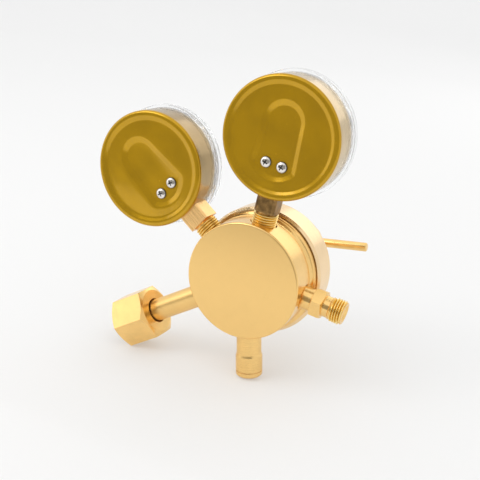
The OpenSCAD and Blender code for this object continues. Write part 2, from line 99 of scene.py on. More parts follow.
def forward_frame(x=0.0, z=0.0, angle=0.0):
    """Local +Z points away from the back face, and local +Y up and turned by the angle."""
    place = Matrix.Translation((x, 0, z))
    return place @ Matrix.Rotation(angle, 4, "Y") @ Matrix.Rotation(math.pi / 2, 4, "X")


def angle_of(axis):
    return math.atan2(axis[0], axis[2])


class Gauge:
    """Place and sizes of one gauge, in metres, from its CAD boxes."""

    def __init__(self, name):
        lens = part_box(f"{name}_gauge_lens")
        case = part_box(f"{name}_gauge_case")
        centre = middle(f"{name}_dial")
        self.name = name
        self.angle = math.atan2(centre.x, centre.z)
        self.frame = forward_frame(centre.x, centre.z, self.angle)
        self.case_r = (case[1].x - case[0].x) / 2
        self.case_back = -case[1].y
        self.case_front = -case[0].y
        self.lens_r = (lens[1].x - lens[0].x) / 2
        self.lens_back = -lens[1].y
        self.lens_front = -lens[0].y
        self.dial_front = -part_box(f"{name}_dial")[0].y


# ---------------------------------------------------------------- shader maths


class Value:
    """A shader socket. Writing an expression on it adds its Math nodes."""

    def __init__(self, nodes, socket):
        self.nodes, self.socket = nodes, socket

    def _math(self, operation, *others):
        return self.nodes.add("ShaderNodeMath", {"operation": operation}, dict(enumerate((self,) + others)))

    def __add__(self, other):
        return self._math("ADD", other)

    __radd__ = __add__

    def __mul__(self, other):
        return self._math("MULTIPLY", other)

    __rmul__ = __mul__

    def __sub__(self, other):
        return self._math("SUBTRACT", other)

    def __rsub__(self, other):
        return self._math("MULTIPLY", -1.0) + other

    def root(self):
        return self._math("SQRT")

    def step(self, low, high):
        """0 below low, 1 above high, smooth between."""
        return self.nodes.add(
            "ShaderNodeMapRange",
            {"interpolation_type": "SMOOTHSTEP"},
            {"Value": self, "From Min": low, "From Max": high},
        )


class Nodes:
    """A node tree, and the one method that adds a node to it."""

    def __init__(self, tree):
        self.tree = tree

    def add(self, kind, settings=None, sockets=None, output=0):
        node = self.tree.nodes.new(kind)
        for name, value in (settings or {}).items():
            setattr(node, name, value)
        for name, value in (sockets or {}).items():
            socket = node.inputs[name]
            if isinstance(value, Value):
                self.tree.links.new(value.socket, socket)
            elif isinstance(value, tuple) and socket.type == "RGBA":
                socket.default_value = (*value, 1.0)
            else:
                socket.default_value = value
        return Value(self, node.outputs[output])


class Finish(Nodes):
    """A material and its principled shader."""

    def __init__(self, name, **constants):
        self.material = bpy.data.materials.new(name)
        self.material.use_nodes = True
        super().__init__(self.material.node_tree)
        self.tree.nodes.clear()
        self.shader = self.tree.nodes.new("ShaderNodeBsdfPrincipled")
        output = self.tree.nodes.new("ShaderNodeOutputMaterial")
        self.tree.links.new(self.shader.outputs[0], output.inputs["Surface"])
        for socket, value in constants.items():
            self.put(socket.replace("_", " "), value)

    def put(self, socket, value):
        """Sets a shader socket to a constant, or links a value to it."""
        if isinstance(value, Value):
            self.tree.links.new(value.socket, self.shader.inputs[socket])
        elif isinstance(value, tuple):
            self.shader.inputs[socket].default_value = (*value, 1.0)
        else:
            self.shader.inputs[socket].default_value = value

    def place(self, matrix=None):
        """Object coordinates, in millimetres, in the frame of the given matrix."""
        coordinates = self.add("ShaderNodeTexCoord", output=3)
        back = (matrix or Matrix.Identity(4)).inverted()
        return self.add(
            "ShaderNodeMapping",
            {"vector_type": "POINT"},
            {
                "Vector": coordinates,
                "Location": tuple(back.translation / MM),
                "Rotation": tuple(back.to_euler()),
                "Scale": (1 / MM,) * 3,
            },
        )

    def parts(self, vector):
        split = self.add("ShaderNodeSeparateXYZ", None, {"Vector": vector})
        return [Value(self, out) for out in split.socket.node.outputs]

    def join(self, x, y, z=0.0):
        return self.add("ShaderNodeCombineXYZ", None, {"X": x, "Y": y, "Z": z})

    def noise(self, vector, scale, detail=2.0, roughness=0.5):
        settings = {"Vector": vector, "Scale": scale, "Detail": detail, "Roughness": roughness}
        return self.add("ShaderNodeTexNoise", None, settings)

    def blend(self, factor, first, second):
        return self.add(
            "ShaderNodeMix",
            {"data_type": "RGBA"},
            {"Factor": factor, 6: first, 7: second},
            output=2,
        )

    def bump(self, height, distance):
        self.put("Normal", self.add("ShaderNodeBump", None, {"Height": height, "Distance": distance}))


def shade(colour, factor):
    return tuple(c * factor for c in colour)


def turned_metal(name, colour, matrix, roughness, marks=1.0, spread=0.10, satin=0.0):
    """Lathe-turned metal, with fine marks round the frame's axis.

    satin roughens the flat face at the frame's origin.
    """
    made = Finish(name, Metallic=1.0)
    point = made.place(matrix)
    x, y, z = made.parts(point)
    radius = (x * x + y * y).root()
    rings = made.noise(made.join(radius * 9.0, z * 9.0), 1.0, 3.0, 0.6)
    feed = made.noise(made.join(radius * 2.2, z * 2.2, 4.0), 1.0, 1.0)
    stain = made.noise(point, 0.09, 3.0, 0.55)
    tone = stain.step(0.3, 0.75)
    base = made.blend(tone, shade(colour, 1 - spread), colour)
    made.put("Base Color", made.blend((rings - 0.5) * 0.35 * marks + 0.5, shade(colour, 0.9), base))
    rough = (rings - 0.5) * 0.22 * marks + (stain - 0.5) * 0.10 + roughness
    if satin:
        rough = rough + (1.0 - z.step(0.3, 1.2)) * satin
    made.put("Roughness", rough)
    made.bump(rings * 0.6 + feed * 0.4, 0.006 * MM * marks)
    return made.material


def drawn_metal(name, colour, matrix, roughness, grooves=0.0):
    """Bar stock: fine scratches run along local Z, over coarser milled grooves if there are any."""
    made = Finish(name, Metallic=1.0)
    point = made.place(matrix)
    x, y, z = made.parts(point)
    lines = made.noise(made.join(x * 6.0, y * 6.0, z * 0.25), 1.0, 3.0, 0.6)
    stain = made.noise(point, 0.12, 3.0, 0.55)
    made.put("Base Color", made.blend(stain.step(0.3, 0.7), shade(colour, 0.9), colour))
    made.put("Roughness", (lines - 0.5) * 0.25 + roughness)
    height = lines
    if grooves:
        height = lines + made.noise(made.join(x * 1.1, y * 1.1, z * 0.02), 1.0, 1.0) * grooves
    made.bump(height, 0.008 * MM)
    return made.material


def thread_metal(name, matrix, root_r, crest_r):
    """A cut thread whose roots are a little darker than its crests, as painted shade."""
    made = Finish(name, Metallic=1.0)
    point = made.place(matrix)
    x, y, z = made.parts(point)
    radius = (x * x + y * y).root()
    height = radius.step(root_r / MM, crest_r / MM)
    grain = made.noise(made.join(radius * 8.0, z * 8.0), 1.0, 2.0)
    # Painted shade: the roots darker than the crests.
    made.put("Base Color", made.blend(height, shade(THREAD_BRASS, 0.95), THREAD_BRASS))
    made.put("Roughness", (grain - 0.5) * 0.2 + 0.34)
    made.bump(grain, 0.006 * MM)
    return made.material


def case_lacquer(name, gauge):
    """Olive gold lacquer on the pressed back, with slight ripples and a few scuffs."""
    made = Finish(name, Metallic=0.6, Specular_Tint=(1.0, 0.85, 0.5), Coat_Weight=0.5, Coat_Roughness=0.08)
    point = made.place(gauge.frame)
    cloud = made.noise(point, 0.07, 2.0, 0.5)
    speck = made.noise(point, 1.4, 3.0, 0.6)
    tone = cloud.step(0.3, 0.7)
    made.put("Base Color", made.blend(tone, shade(OLIVE_GOLD, 0.93), shade(OLIVE_GOLD, 1.05)))
    made.put("Roughness", speck.step(0.55, 0.8) * 0.10 + 0.20)
    made.bump(made.noise(point, 0.16, 1.0) + speck * 0.01, 0.05 * MM)
    return made.material


def case_polish_lit_and_shaded(name, gauge):
    """Thin clear lacquer over the straight side of the case, polished along its round. Its gold has painted
    light and shade: a darker copy on the supply gauge as painted shade, and a lighter copy on the delivery
    gauge as painted light.
    """
    # Each gauge's side takes its own copy of the gold: darker as painted shade on the supply gauge, lighter
    # as painted light on the delivery gauge.
    gold = SIDE_GOLD_WITH_PAINTED_LIGHT_AND_SHADE[gauge.name]
    made = Finish(name, Metallic=1.0, Coat_Weight=0.2, Coat_Roughness=0.08)
    point = made.place(gauge.frame)
    x, y, depth = made.parts(point)
    cloud = made.noise(point, 0.12, 3.0, 0.6)
    lines = made.noise(made.join(depth * 5.0, cloud), 1.0, 3.0)
    made.put("Base Color", made.blend(cloud.step(0.3, 0.7), shade(gold, 0.86), gold))
    made.put("Roughness", (lines - 0.5) * 0.15 + 0.20)
    made.bump(made.noise(point, 0.16, 1.0) + lines * 0.03, 0.05 * MM)
    return made.material


def dull_nickel(name, matrix):
    """Old nickel plate with brown blotches, on a milled bar."""
    made = Finish(name, Metallic=0.9)
    point = made.place(matrix)
    x, y, z = made.parts(point)
    blotch = made.noise(point, 0.3, 3.0, 0.6).step(0.3, 0.7)
    lines = made.noise(made.join(x * 5.0, y * 5.0, z * 0.4), 1.0, 3.0)
    made.put("Base Color", made.blend(blotch, DULL_NICKEL, shade(DULL_NICKEL, 2.2)))
    made.put("Roughness", blotch * 0.15 + lines * 0.15 + 0.22)
    made.bump(lines, 0.012 * MM)
    return made.material


def plated(name, colour, roughness):
    """Plate or stamped sheet with an even fine grain."""
    made = Finish(name, Metallic=1.0)
    point = made.place()
    grain = made.noise(point, 1.1, 3.0)
    made.put("Base Color", made.blend(grain, shade(colour, 0.92), colour))
    made.put("Roughness", (grain - 0.5) * 0.15 + roughness)
    made.bump(made.noise(point, 3.0, 2.0), 0.002 * MM)
    return made.material


def screw_nickel(name, gauge):
    """Bright nickel, painted much darker deep in the cross recess as painted shade, and rougher there."""
    made = Finish(name, Metallic=1.0)
    point = made.place(gauge.frame)
    depth = made.parts(point)[2]
    back = gauge.case_back / MM
    recess_painted_shade = depth.step(back + 1.0, back + 1.6)
    grain = made.noise(point, 1.1, 3.0)
    # Painted shade deep in the cross recess.
    made.put("Base Color", made.blend(recess_painted_shade, NICKEL, shade(NICKEL, 0.12)))
    made.put("Roughness", (grain - 0.5) * 0.15 + recess_painted_shade * 0.3 + 0.14)
    made.bump(made.noise(point, 3.0, 2.0), 0.002 * MM)
    return made.material


def spring_steel(name):
    """Dark oiled wire."""
    made = Finish(name, Metallic=1.0)
    point = made.place()
    grain = made.noise(point, 1.6, 4.0, 0.6)
    made.put("Base Color", made.blend(grain, (0.10, 0.10, 0.11), (0.30, 0.30, 0.31)))
    made.put("Roughness", grain * 0.3 + 0.2)
    made.bump(grain, 0.01 * MM)
    return made.material


def moulded(name, colour, roughness):
    """Rubber or plastic with a fine moulded grain."""
    made = Finish(name)
    point = made.place()
    grain = made.noise(point, 2.0, 3.0, 0.6)
    made.put("Base Color", made.blend(grain, shade(colour, 0.85), shade(colour, 1.15)))
    made.put("Roughness", (grain - 0.5) * 0.2 + roughness)
    made.bump(grain, 0.01 * MM)
    return made.material


def sintered(name):
    """Pressed bronze beads, painted darker in the gaps between them as painted shade."""
    made = Finish(name, Metallic=1.0)
    point = made.place()
    beads = made.add("ShaderNodeTexVoronoi", {"feature": "F1"}, {"Vector": point, "Scale": 2.4})
    # Painted shade: darker away from the bead centres, in the gaps between beads.
    made.put("Base Color", made.blend(beads, (0.42, 0.26, 0.12), (0.18, 0.10, 0.05)))
    made.put("Roughness", beads * 0.3 + 0.4)
    made.bump(1.0 - beads, 0.15 * MM)
    return made.material


def clear_plastic(name):
    """Clear moulding, thinned by its alpha so that what is behind stays bright."""
    made = Finish(name, Transmission_Weight=1.0, IOR=1.25, Base_Color=(0.98, 0.99, 0.995), Alpha=0.55)
    made.put("Roughness", made.noise(made.place(), 0.8, 2.0) * 0.004)
    return made.material


def printed(name, colour, roughness):
    """Paint or ink with a faint orange-peel."""
    made = Finish(name)
    point = made.place()
    grain = made.noise(point, 1.5, 3.0)
    made.put("Base Color", made.blend(grain, shade(colour, 0.93), colour))
    made.put("Roughness", (grain - 0.5) * 0.15 + roughness)
    made.bump(grain, 0.01 * MM)
    return made.material


# ---------------------------------------------------------------- modelling helpers


def finished(bm, name, body, nodes, material, matrix=None, flat_angle=35.0, soften=True):
    """Makes the bmesh a piece: placed, facing outwards, and riding on its body."""
    bmesh.ops.remove_doubles(bm, verts=bm.verts, dist=1e-7)
    if matrix is not None:
        bmesh.ops.transform(bm, matrix=matrix, verts=bm.verts)
    bmesh.ops.recalc_face_normals(bm, faces=bm.faces)
    limit = math.radians(flat_angle)
    for face in bm.faces:
        face.smooth = True
    for edge in bm.edges:
        edge.smooth = len(edge.link_faces) == 2 and edge.calc_face_angle(0.0) < limit
    mesh = bpy.data.meshes.new(name)
    bm.to_mesh(mesh)
    bm.free()
    piece = bpy.data.objects.new(name, mesh)
    bpy.context.scene.collection.objects.link(piece)
    mesh.materials.append(material)
    if soften:
        weighted = piece.modifiers.new("flat faces stay flat", "WEIGHTED_NORMAL")
        weighted.keep_sharp = True
        weighted.weight = 60
    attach(piece, body)
    if nodes:
        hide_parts(*nodes)
    return piece


def bevel(bm, edges, width):
    bmesh.ops.bevel(
        bm,
        geom=edges,
        offset=width,
        offset_type="OFFSET",
        affect="EDGES",
        segments=2,
        profile=0.5,
        material=-1,
        clamp_overlap=True,
    )


def edges_sharper(bm, degrees):
    limit = math.radians(degrees)
    return [e for e in bm.edges if len(e.link_faces) == 2 and e.calc_face_angle(0.0) > limit]


def merged_copy(node):
    """A merged copy of a CAD node, with its flat faces made whole."""
    bm = bmesh.new()
    bm.from_mesh(frame["nodes"][node].data)
    bmesh.ops.remove_doubles(bm, verts=bm.verts, dist=2e-6)
    bmesh.ops.dissolve_limit(bm, angle_limit=math.radians(0.4), verts=bm.verts, edges=bm.edges)
    return bm


def softened(node, material, body="regulator", width=0.15, sharp=28.0, core=None):
    """A CAD node with its sharp edges broken.

    core = (frame, crest radius, root radius) turns its plain thread down to the root.
    """
    bm = merged_copy(node)
    if core:
        place, crest_r, root_r = core
        back = place.inverted()
        for vert in bm.verts:
            local = back @ vert.co
            radius = math.hypot(local.x, local.y)
            if abs(radius - crest_r) < 0.05 * MM:
                vert.co = place @ Vector((local.x * root_r / radius, local.y * root_r / radius, local.z))
    bevel(bm, edges_sharper(bm, sharp), width * MM)
    return finished(bm, f"{node}_finished", body, [node], material)


def pressed(node, material, joint, axis):
    """A CAD spring as a finished piece with a mesh of its own; its length and its joint's travel are read
    but not used.
    """
    piece = finished(merged_copy(node), f"{node}_finished", "regulator", [node], material, soften=False)
    low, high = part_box(node)
    joints = frame["record"]["behaviour"]["joints"]
    travel = next(j for j in joints if j["name"] == joint)["range_m"][1]
    length = (high - low).dot(Vector(axis))
    1 - travel / length
    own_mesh(piece)


def loop_of(bm, points):
    """A closed ring of edges through the points, made from a circle."""
    made = bmesh.ops.create_circle(bm, cap_ends=False, radius=1.0, segments=len(points))
    verts = made["verts"]
    for vert, point in zip(verts, points):
        vert.co = point
    return sorted({e for v in verts for e in v.link_edges}, key=lambda e: e.index), verts


def loft(bm, rings):
    """Skins a row of closed rings, all with the same number of points, and caps both ends."""
    edges, verts = loop_of(bm, rings[0])
    bmesh.ops.contextual_create(bm, geom=edges)
    for ring in rings[1:]:
        where = {vert: index for index, vert in enumerate(verts)}
        order = [(where[e.verts[0]], where[e.verts[1]]) for e in edges]
        made = bmesh.ops.extrude_edge_only(bm, edges=edges)["geom"]
        fresh = [g for g in made if isinstance(g, bmesh.types.BMEdge)]
        new_verts = [None] * len(verts)
        for vert in (g for g in made if isinstance(g, bmesh.types.BMVert)):
            old = next(e.other_vert(vert) for e in vert.link_edges if e.other_vert(vert) in where)
            new_verts[where[old]] = vert
        for index, point in enumerate(ring):
            new_verts[index].co = point
        ends = {frozenset((new_verts[a], new_verts[b])) for a, b in order}
        edges = [e for e in fresh if frozenset(e.verts) in ends]
        verts = new_verts
    bmesh.ops.contextual_create(bm, geom=edges)


def turned(bm, profile, steps=96):
    """Spins an open or closed profile of (radius, height) points, in metres, round local Z."""
    verts = [bm.verts.new((r, 0, z)) for r, z in profile]
    edges = [bm.edges.new(pair) for pair in zip(verts, verts[1:])]
    bmesh.ops.spin(
        bm,
        geom=verts + edges,
        cent=(0, 0, 0),
        axis=(0, 0, 1),
        angle=math.tau,
        steps=steps,
        use_merge=True,
    )
    bmesh.ops.remove_doubles(bm, verts=bm.verts, dist=1e-7)


def worm(bm, root_r, crest_r, start, end, pitch, flat=0.12, inside=False):
    """A helical ridge with a closed section, its ends faded into the core, in metres."""
    steps_a_turn = 40
    turns = (end - start) / pitch
    sink = 0.15 * MM * (1 if inside else -1)
    half, top = pitch * 0.5, pitch * flat
    section = [(root_r + sink, -half), (root_r, -half), (crest_r, -top)]
    section += [(crest_r, top), (root_r, half), (root_r + sink, half)]
    verts = [bm.verts.new((r, 0, start + h)) for r, h in section]
    face = bm.faces.new(verts)
    steps = round(turns * steps_a_turn)
    before = set(bm.verts)
    bmesh.ops.spin(
        bm,
        geom=[face] + list(face.edges) + list(face.verts),
        cent=(0, 0, 0),
        axis=(0, 0, 1),
        angle=math.tau * turns,
        dvec=(0, 0, (end - start) / steps),
        steps=steps,
        use_merge=False,
    )
    ridge = verts + [v for v in bm.verts if v not in before]
    fade = pitch * 0.6
    for vert in ridge:
        radius = math.hypot(vert.co.x, vert.co.y)
        height = vert.co.z
        share = min(1.0, max(0.0, (height - start + half) / fade), max(0.0, (end + half - height) / fade))
        wanted = root_r + sink + (radius - root_r - sink) * share
        vert.co.x *= wanted / radius
        vert.co.y *= wanted / radius


# ---------------------------------------------------------------- gauges


def part_circle(x, y, radius, start, end, steps):
    turns = [math.radians(start + (end - start) * i / steps) for i in range(steps + 1)]
    return [(x + radius * math.cos(a), y + radius * math.sin(a)) for a in turns]


def seat_outline(grow, count):
    """The screw seat: an arch on flared sides, closed by a shallow arc, evenly spaced, in millimetres."""
    arch_y, corner_x, corner_y, foot_y, lean = 8.25, -8.6, -14.6, -6.77, 42.3
    left = part_circle(0, arch_y, 9.75 + grow, 90, 180, 30)
    left += part_circle(corner_x, corner_y, 2.6 + grow, 180, 180 + lean, 8)
    left += part_circle(0, foot_y, 14.23 + grow, 180 + lean, 270, 24)
    right = [(-x, y) for x, y in reversed(left[1:-1])]
    return evenly(left + right, count)


def evenly(points, count):
    """Walks a closed outline from its first point and returns evenly spaced points."""
    closed = points + points[:1]
    lengths = [0.0]
    for a, b in zip(closed, closed[1:]):
        lengths.append(lengths[-1] + math.dist(a, b))
    out = []
    for k in range(count):
        want = lengths[-1] * k / count
        at = next(i for i in range(len(points)) if lengths[i + 1] > want)
        share = (want - lengths[at]) / (lengths[at + 1] - lengths[at])
        a, b = closed[at], closed[at + 1]
        out.append((a[0] + (b[0] - a[0]) * share, a[1] + (b[1] - a[1]) * share))
    return out


def gauge_case(gauge):
    """The pressed case: rounded rim, sunk panel, sunk screw seat, and a straight polished side."""
    count, wall, edge, panel_r = 128, 0.8, 1.6, 26.0
    r, back, front = gauge.case_r / MM, gauge.case_back / MM, gauge.case_front / MM
    panel, seat = back + 1.0, back + 2.2
    angles = [math.pi / 2 + math.tau * k / count for k in range(count)]

    def circle(radius, depth):
        return [(radius * math.cos(a) * MM, radius * math.sin(a) * MM, depth * MM) for a in angles]

    def seat_ring(grow, depth):
        return [(x * MM, y * MM, depth * MM) for x, y in seat_outline(grow, count)]

    def toward(share, depth):
        """A ring of the flat panel, this share of the way from the seat to the rim."""
        inner = [Vector((x, y, depth)) for x, y in seat_outline(2.0, count)]
        outer = [Vector((panel_r * math.cos(a), panel_r * math.sin(a), depth)) for a in angles]
        return [a.lerp(b, share) * MM for a, b in zip(inner, outer)]

    rings = [[(x * 0.4 * MM, y * 0.4 * MM, seat * MM) for x, y in seat_outline(-2.0, count)]]
    rings += [seat_ring(-1.9, seat), seat_ring(-1.5, seat - 0.05), seat_ring(-1.0, seat - 0.22)]
    rings += [seat_ring(0.9, panel + 0.24), seat_ring(1.4, panel + 0.06), seat_ring(2.0, panel)]
    rings += [toward(share, panel) for share in (0.2, 0.45, 0.7, 0.9)]
    rings += [circle(26.1, panel), circle(26.5, panel - 0.05), circle(26.9, panel - 0.2)]
    rings += [circle(28.1, back + 0.24), circle(28.55, back + 0.06), circle(29.0, back)]
    for i in range(9):
        a = math.radians(-90 + 90 * i / 8)
        rings.append(circle(r - edge + edge * math.cos(a), back + edge + edge * math.sin(a)))
    for depth in (6.0, 10.0, 15.0, front - 0.3):
        rings.append(circle(r, depth))
    rings += [circle(r - 0.15, front), circle(r - wall + 0.15, front), circle(r - wall, front - 0.3)]
    rings += [circle(r - wall, 10.0), circle(r - wall, seat + 1.2)]
    rings += [circle(20.0, seat + 0.8), circle(6.0, seat + 0.8)]
    bm = bmesh.new()
    loft(bm, rings)
    for face in bm.faces:
        centre = face.calc_center_median()
        if centre.z > (back + edge) * MM and math.hypot(centre.x, centre.y) > (r - edge) * MM:
            face.material_index = 1
    shell = finished(
        bm, f"{gauge.name}_case_shell", "regulator", [f"{gauge.name}_gauge_case"],
        case_lacquer(f"{gauge.name} case lacquer", gauge), gauge.frame, flat_angle=60, soften=False,
    )
    shell.data.materials.append(case_polish_lit_and_shaded(f"{gauge.name} case polish", gauge))


def gauge_lens(gauge, material):
    """A snap-on clear cap with a finely ribbed rim."""
    ribs, rib_depth = 180, 0.12 * MM
    r, back, front = gauge.lens_r, gauge.lens_back, gauge.lens_front
    seat = gauge.case_front + 0.8 * MM
    pane = seat + 1.9 * MM
    inner = gauge.case_r + 0.1 * MM
    ridge_r = r - 0.05 * MM
    profile = [
        (1e-6, pane), (27.4 * MM, pane), (27.6 * MM, pane), (28.6 * MM, seat + 1.4 * MM),
        (29.2 * MM, seat + 0.2 * MM), (29.2 * MM, seat),
        (inner, seat), (inner, back), (r - 0.3 * MM, back), (ridge_r, back + 0.3 * MM),
        (ridge_r, front - 2.2 * MM), (r - 0.4 * MM, front - 1.2 * MM), (r - 1.6 * MM, front - 0.4 * MM),
        (28.9 * MM, front - 0.02 * MM), (28.6 * MM, front), (28.4 * MM, front), (1e-6, front),
    ]
    bm = bmesh.new()
    turned(bm, profile, steps=ribs)
    for vert in bm.verts:
        radius = math.hypot(vert.co.x, vert.co.y)
        turn = math.atan2(vert.co.y, vert.co.x) / math.tau * ribs
        if radius > r - 0.1 * MM and round(turn) % 2:
            vert.co.x *= 1 - rib_depth / radius
            vert.co.y *= 1 - rib_depth / radius
    finished(
        bm, f"{gauge.name}_lens_cap", "regulator", [f"{gauge.name}_gauge_lens"],
        material, gauge.frame, flat_angle=28, soften=False,
    )


def arc_band(bm, inner, outer, low, height, start, end):
    """A flat band of a circle between two angles, as a closed solid."""
    turn = Matrix.Rotation(math.radians(start), 4, "Z")
    corners = [(inner, low), (outer, low), (outer, low + height), (inner, low + height)]
    verts = [bm.verts.new(turn @ Vector((r, 0, z))) for r, z in corners]
    face = bm.faces.new(verts)
    bmesh.ops.spin(
        bm,
        geom=[face] + list(face.edges) + verts,
        cent=(0, 0, 0),
        axis=(0, 0, 1),
        angle=math.radians(end - start),
        steps=96,
        use_merge=False,
    )


def dial_piece(bm, gauge, what, ink):
    finished(bm, f"{gauge.name}_{what}", "regulator", [], ink, gauge.frame, soften=False)


def dial_ticks(gauge, ink):
    """Fifty divisions round three quarters of a circle, and the arc that joins them."""
    outer, divisions = 26.4, 50
    bm = bmesh.new()
    for i in range(divisions + 1):
        inner = 22.0 if i % 10 == 0 else 23.6 if i % 5 == 0 else 24.6
        width = 0.55 if i % 10 == 0 else 0.3
        length = outer - inner
        turn = Matrix.Rotation(math.radians(225 - 270 * i / divisions), 3, "Z")
        tick = bmesh.ops.create_cube(bm, size=1.0)["verts"]
        bmesh.ops.scale(bm, vec=(length * MM, width * MM, 0.04 * MM), verts=tick)
        bmesh.ops.translate(bm, vec=((outer - length / 2) * MM, 0, gauge.dial_front + 0.01 * MM), verts=tick)
        bmesh.ops.rotate(bm, cent=(0, 0, 0), matrix=turn, verts=tick)
    arc_band(bm, 26.25 * MM, 26.55 * MM, gauge.dial_front, 0.03 * MM, -45, 225)
    dial_piece(bm, gauge, "scale_ticks", ink)


def dial_number(gauge, k, text, ink):
    """One generic number, a fifth of the scale from the last."""
    reach, angle = 18.3 * MM, math.radians(225 - 54 * k)
    curve = bpy.data.curves.new(f"{gauge.name} number {k}", "FONT")
    curve.body = text
    curve.size = 4.6 * MM
    curve.extrude = 0.02 * MM
    curve.align_x = "CENTER"
    curve.align_y = "CENTER"
    holder = bpy.data.objects.new(f"number {k}", curve)
    bpy.context.scene.collection.objects.link(holder)
    mesh = bpy.data.meshes.new_from_object(holder.evaluated_get(bpy.context.evaluated_depsgraph_get()))
    bpy.data.objects.remove(holder)
    bm = bmesh.new()
    bm.from_mesh(mesh)
    spot = (reach * math.cos(angle), reach * math.sin(angle), gauge.dial_front + 0.02 * MM)
    bmesh.ops.translate(bm, vec=spot, verts=bm.verts)
    dial_piece(bm, gauge, f"number_{k}", ink)


def dial_marks(gauge, black, red, top):
    """Printed scale up to the top number, with a red zone over its last fifth."""
    dial_ticks(gauge, black)
    bm = bmesh.new()
    arc_band(bm, 24.7 * MM, 26.2 * MM, gauge.dial_front, 0.02 * MM, -45, 9)
    dial_piece(bm, gauge, "red_zone", red)
    for k in range(6):
        dial_number(gauge, k, str(top * k // 5), black)


def thread_ridge(name, body, slot, material, place, *sizes, **shape):
    """A thread's ridge as its own piece, on a part that was turned down to the root."""
    bm = bmesh.new()
    worm(bm, *sizes, **shape)
    finished(bm, name, body, [], material, place, flat_angle=40, soften=False)


def gauge_stem(gauge):
    """The square block under the gauge, and the short male thread between it and the body."""
    place = port_frame(gauge.angle, STEM_DEPTH)
    brass = thread_metal(f"{gauge.name} stem thread brass", place, ROOT_PAINTED_SHADE_R, CREST_UNSHADED_R)
    thread_ridge(
        f"{gauge.name}_stem_thread", "regulator", "stem_brass", brass, place,
        THREAD_ROOT_R, PORT_R - SHY, *STEM_THREAD, PORT_PITCH,
    )
    core = (place, PORT_R, THREAD_ROOT_R)
    if gauge.name == "supply":
        block = drawn_metal("pink stem brass", PALE_BRASS, place, 0.27, grooves=12.0)
        softened("supply_gauge_socket", block, width=0.12, core=core)
    else:
        block = dull_nickel("dull stem nickel", place)
        softened("delivery_gauge_socket", block, width=0.12, core=core)


# ---------------------------------------------------------------- studio


def glow(tree):
    """Even white light that is brighter towards the upper left of the back view."""
    sky = Nodes(tree)
    bright_side = tuple(Vector((0.6, 0.25, 0.75)).normalized())
    towards = sky.add(
        "ShaderNodeVectorMath",
        {"operation": "DOT_PRODUCT"},
        {0: sky.add("ShaderNodeTexCoord"), 1: bright_side},
        output=1,
    )
    spread = sky.add(
        "ShaderNodeMapRange",
        None,
        {"Value": towards, "From Min": -0.6, "To Min": GLOW_LOW, "To Max": GLOW_HIGH},
    )
    background = tree.nodes["Background"]
    background.inputs["Color"].default_value = (1.0, 0.992, 0.98, 1.0)
    tree.links.new(spread.socket, background.inputs["Strength"])


def lowest(nodes, up):
    return min(v.co.dot(up) for n in nodes for v in frame["nodes"][n].data.vertices)


def standing_up():
    """The up direction when the object stands on its relief valve and its inlet nut."""
    low, high = 0.0, math.radians(12)
    for _ in range(30):
        tilt = (low + high) / 2
        up = Vector((-math.sin(tilt), 0, math.cos(tilt)))
        if lowest(["inlet_nut"], up) > lowest(["relief_cap"], up):
            low = tilt
        else:
            high = tilt
    return low, lowest(["inlet_nut", "relief_cap"], up)


def pale_floor(tilt, low):
    """White paper that runs up into a bowl far behind the object."""
    bm = bmesh.new()
    flat = [(1e-5, 0), (0.9, 0), (1.3, 0)]
    turned(bm, flat + [(1.7, 0.04), (2.0, 0.14), (2.25, 0.32), (2.4, 0.6), (2.45, 0.9)])
    bmesh.ops.translate(bm, vec=(0, 0, low), verts=bm.verts)
    bmesh.ops.rotate(bm, cent=(0, 0, 0), matrix=Matrix.Rotation(-tilt, 3, "Y"), verts=bm.verts)
    bmesh.ops.recalc_face_normals(bm, faces=bm.faces)
    mesh = bpy.data.meshes.new("pale floor")
    bm.to_mesh(mesh)
    bm.free()
    for face in mesh.polygons:
        face.use_smooth = True
    floor = bpy.data.objects.new("pale_floor", mesh)
    bpy.context.scene.collection.objects.link(floor)
    paper = Finish("white paper", Emission_Color=(1.0, 1.0, 1.0), Emission_Strength=0.30)
    grain = paper.noise(paper.place(), 0.4, 3.0)
    paper.put("Base Color", paper.blend(grain, (0.545, 0.55, 0.555), (0.56, 0.565, 0.57)))
    paper.put("Roughness", grain * 0.1 + 0.75)
    mesh.materials.append(paper.material)


def softbox(name, spot, target, size, power, colour):
    light = bpy.data.lights.new(name, "AREA")
    light.shape, light.size, light.energy, light.color = "SQUARE", size, power, colour
    holder = bpy.data.objects.new(name, light)
    bpy.context.scene.collection.objects.link(holder)
    holder.visible_camera = False
    holder.location = spot
    holder.rotation_euler = (Vector(target) - Vector(spot)).to_track_quat("-Z", "Y").to_euler()


def reflected_card(name, size, spot, turn, dark, light):
    """A flat glowing card that only reflections see, a painted reflection. It shades or brightens the broad
    flat faces.
    """
    bm = bmesh.new()
    bmesh.ops.create_grid(bm, x_segments=1, y_segments=1, size=0.5)
    bmesh.ops.scale(bm, vec=(*size, 1), verts=bm.verts)
    bmesh.ops.rotate(bm, cent=(0, 0, 0), matrix=turn.to_3x3(), verts=bm.verts)
    bmesh.ops.translate(bm, vec=spot, verts=bm.verts)
    mesh = bpy.data.meshes.new(name)
    bm.to_mesh(mesh)
    bm.free()
    card = bpy.data.objects.new(name, mesh)
    bpy.context.scene.collection.objects.link(card)
    card.visible_camera = card.visible_diffuse = card.visible_shadow = card.visible_transmission = False
    painted_reflection = Finish(name, Base_Color=(0.02, 0.02, 0.02), Roughness=1.0, Emission_Strength=1.0)
    painted_reflection.put("Emission Color", painted_reflection.blend(painted_reflection.noise(painted_reflection.place(), 0.05), dark, light))
    mesh.materials.append(painted_reflection.material)


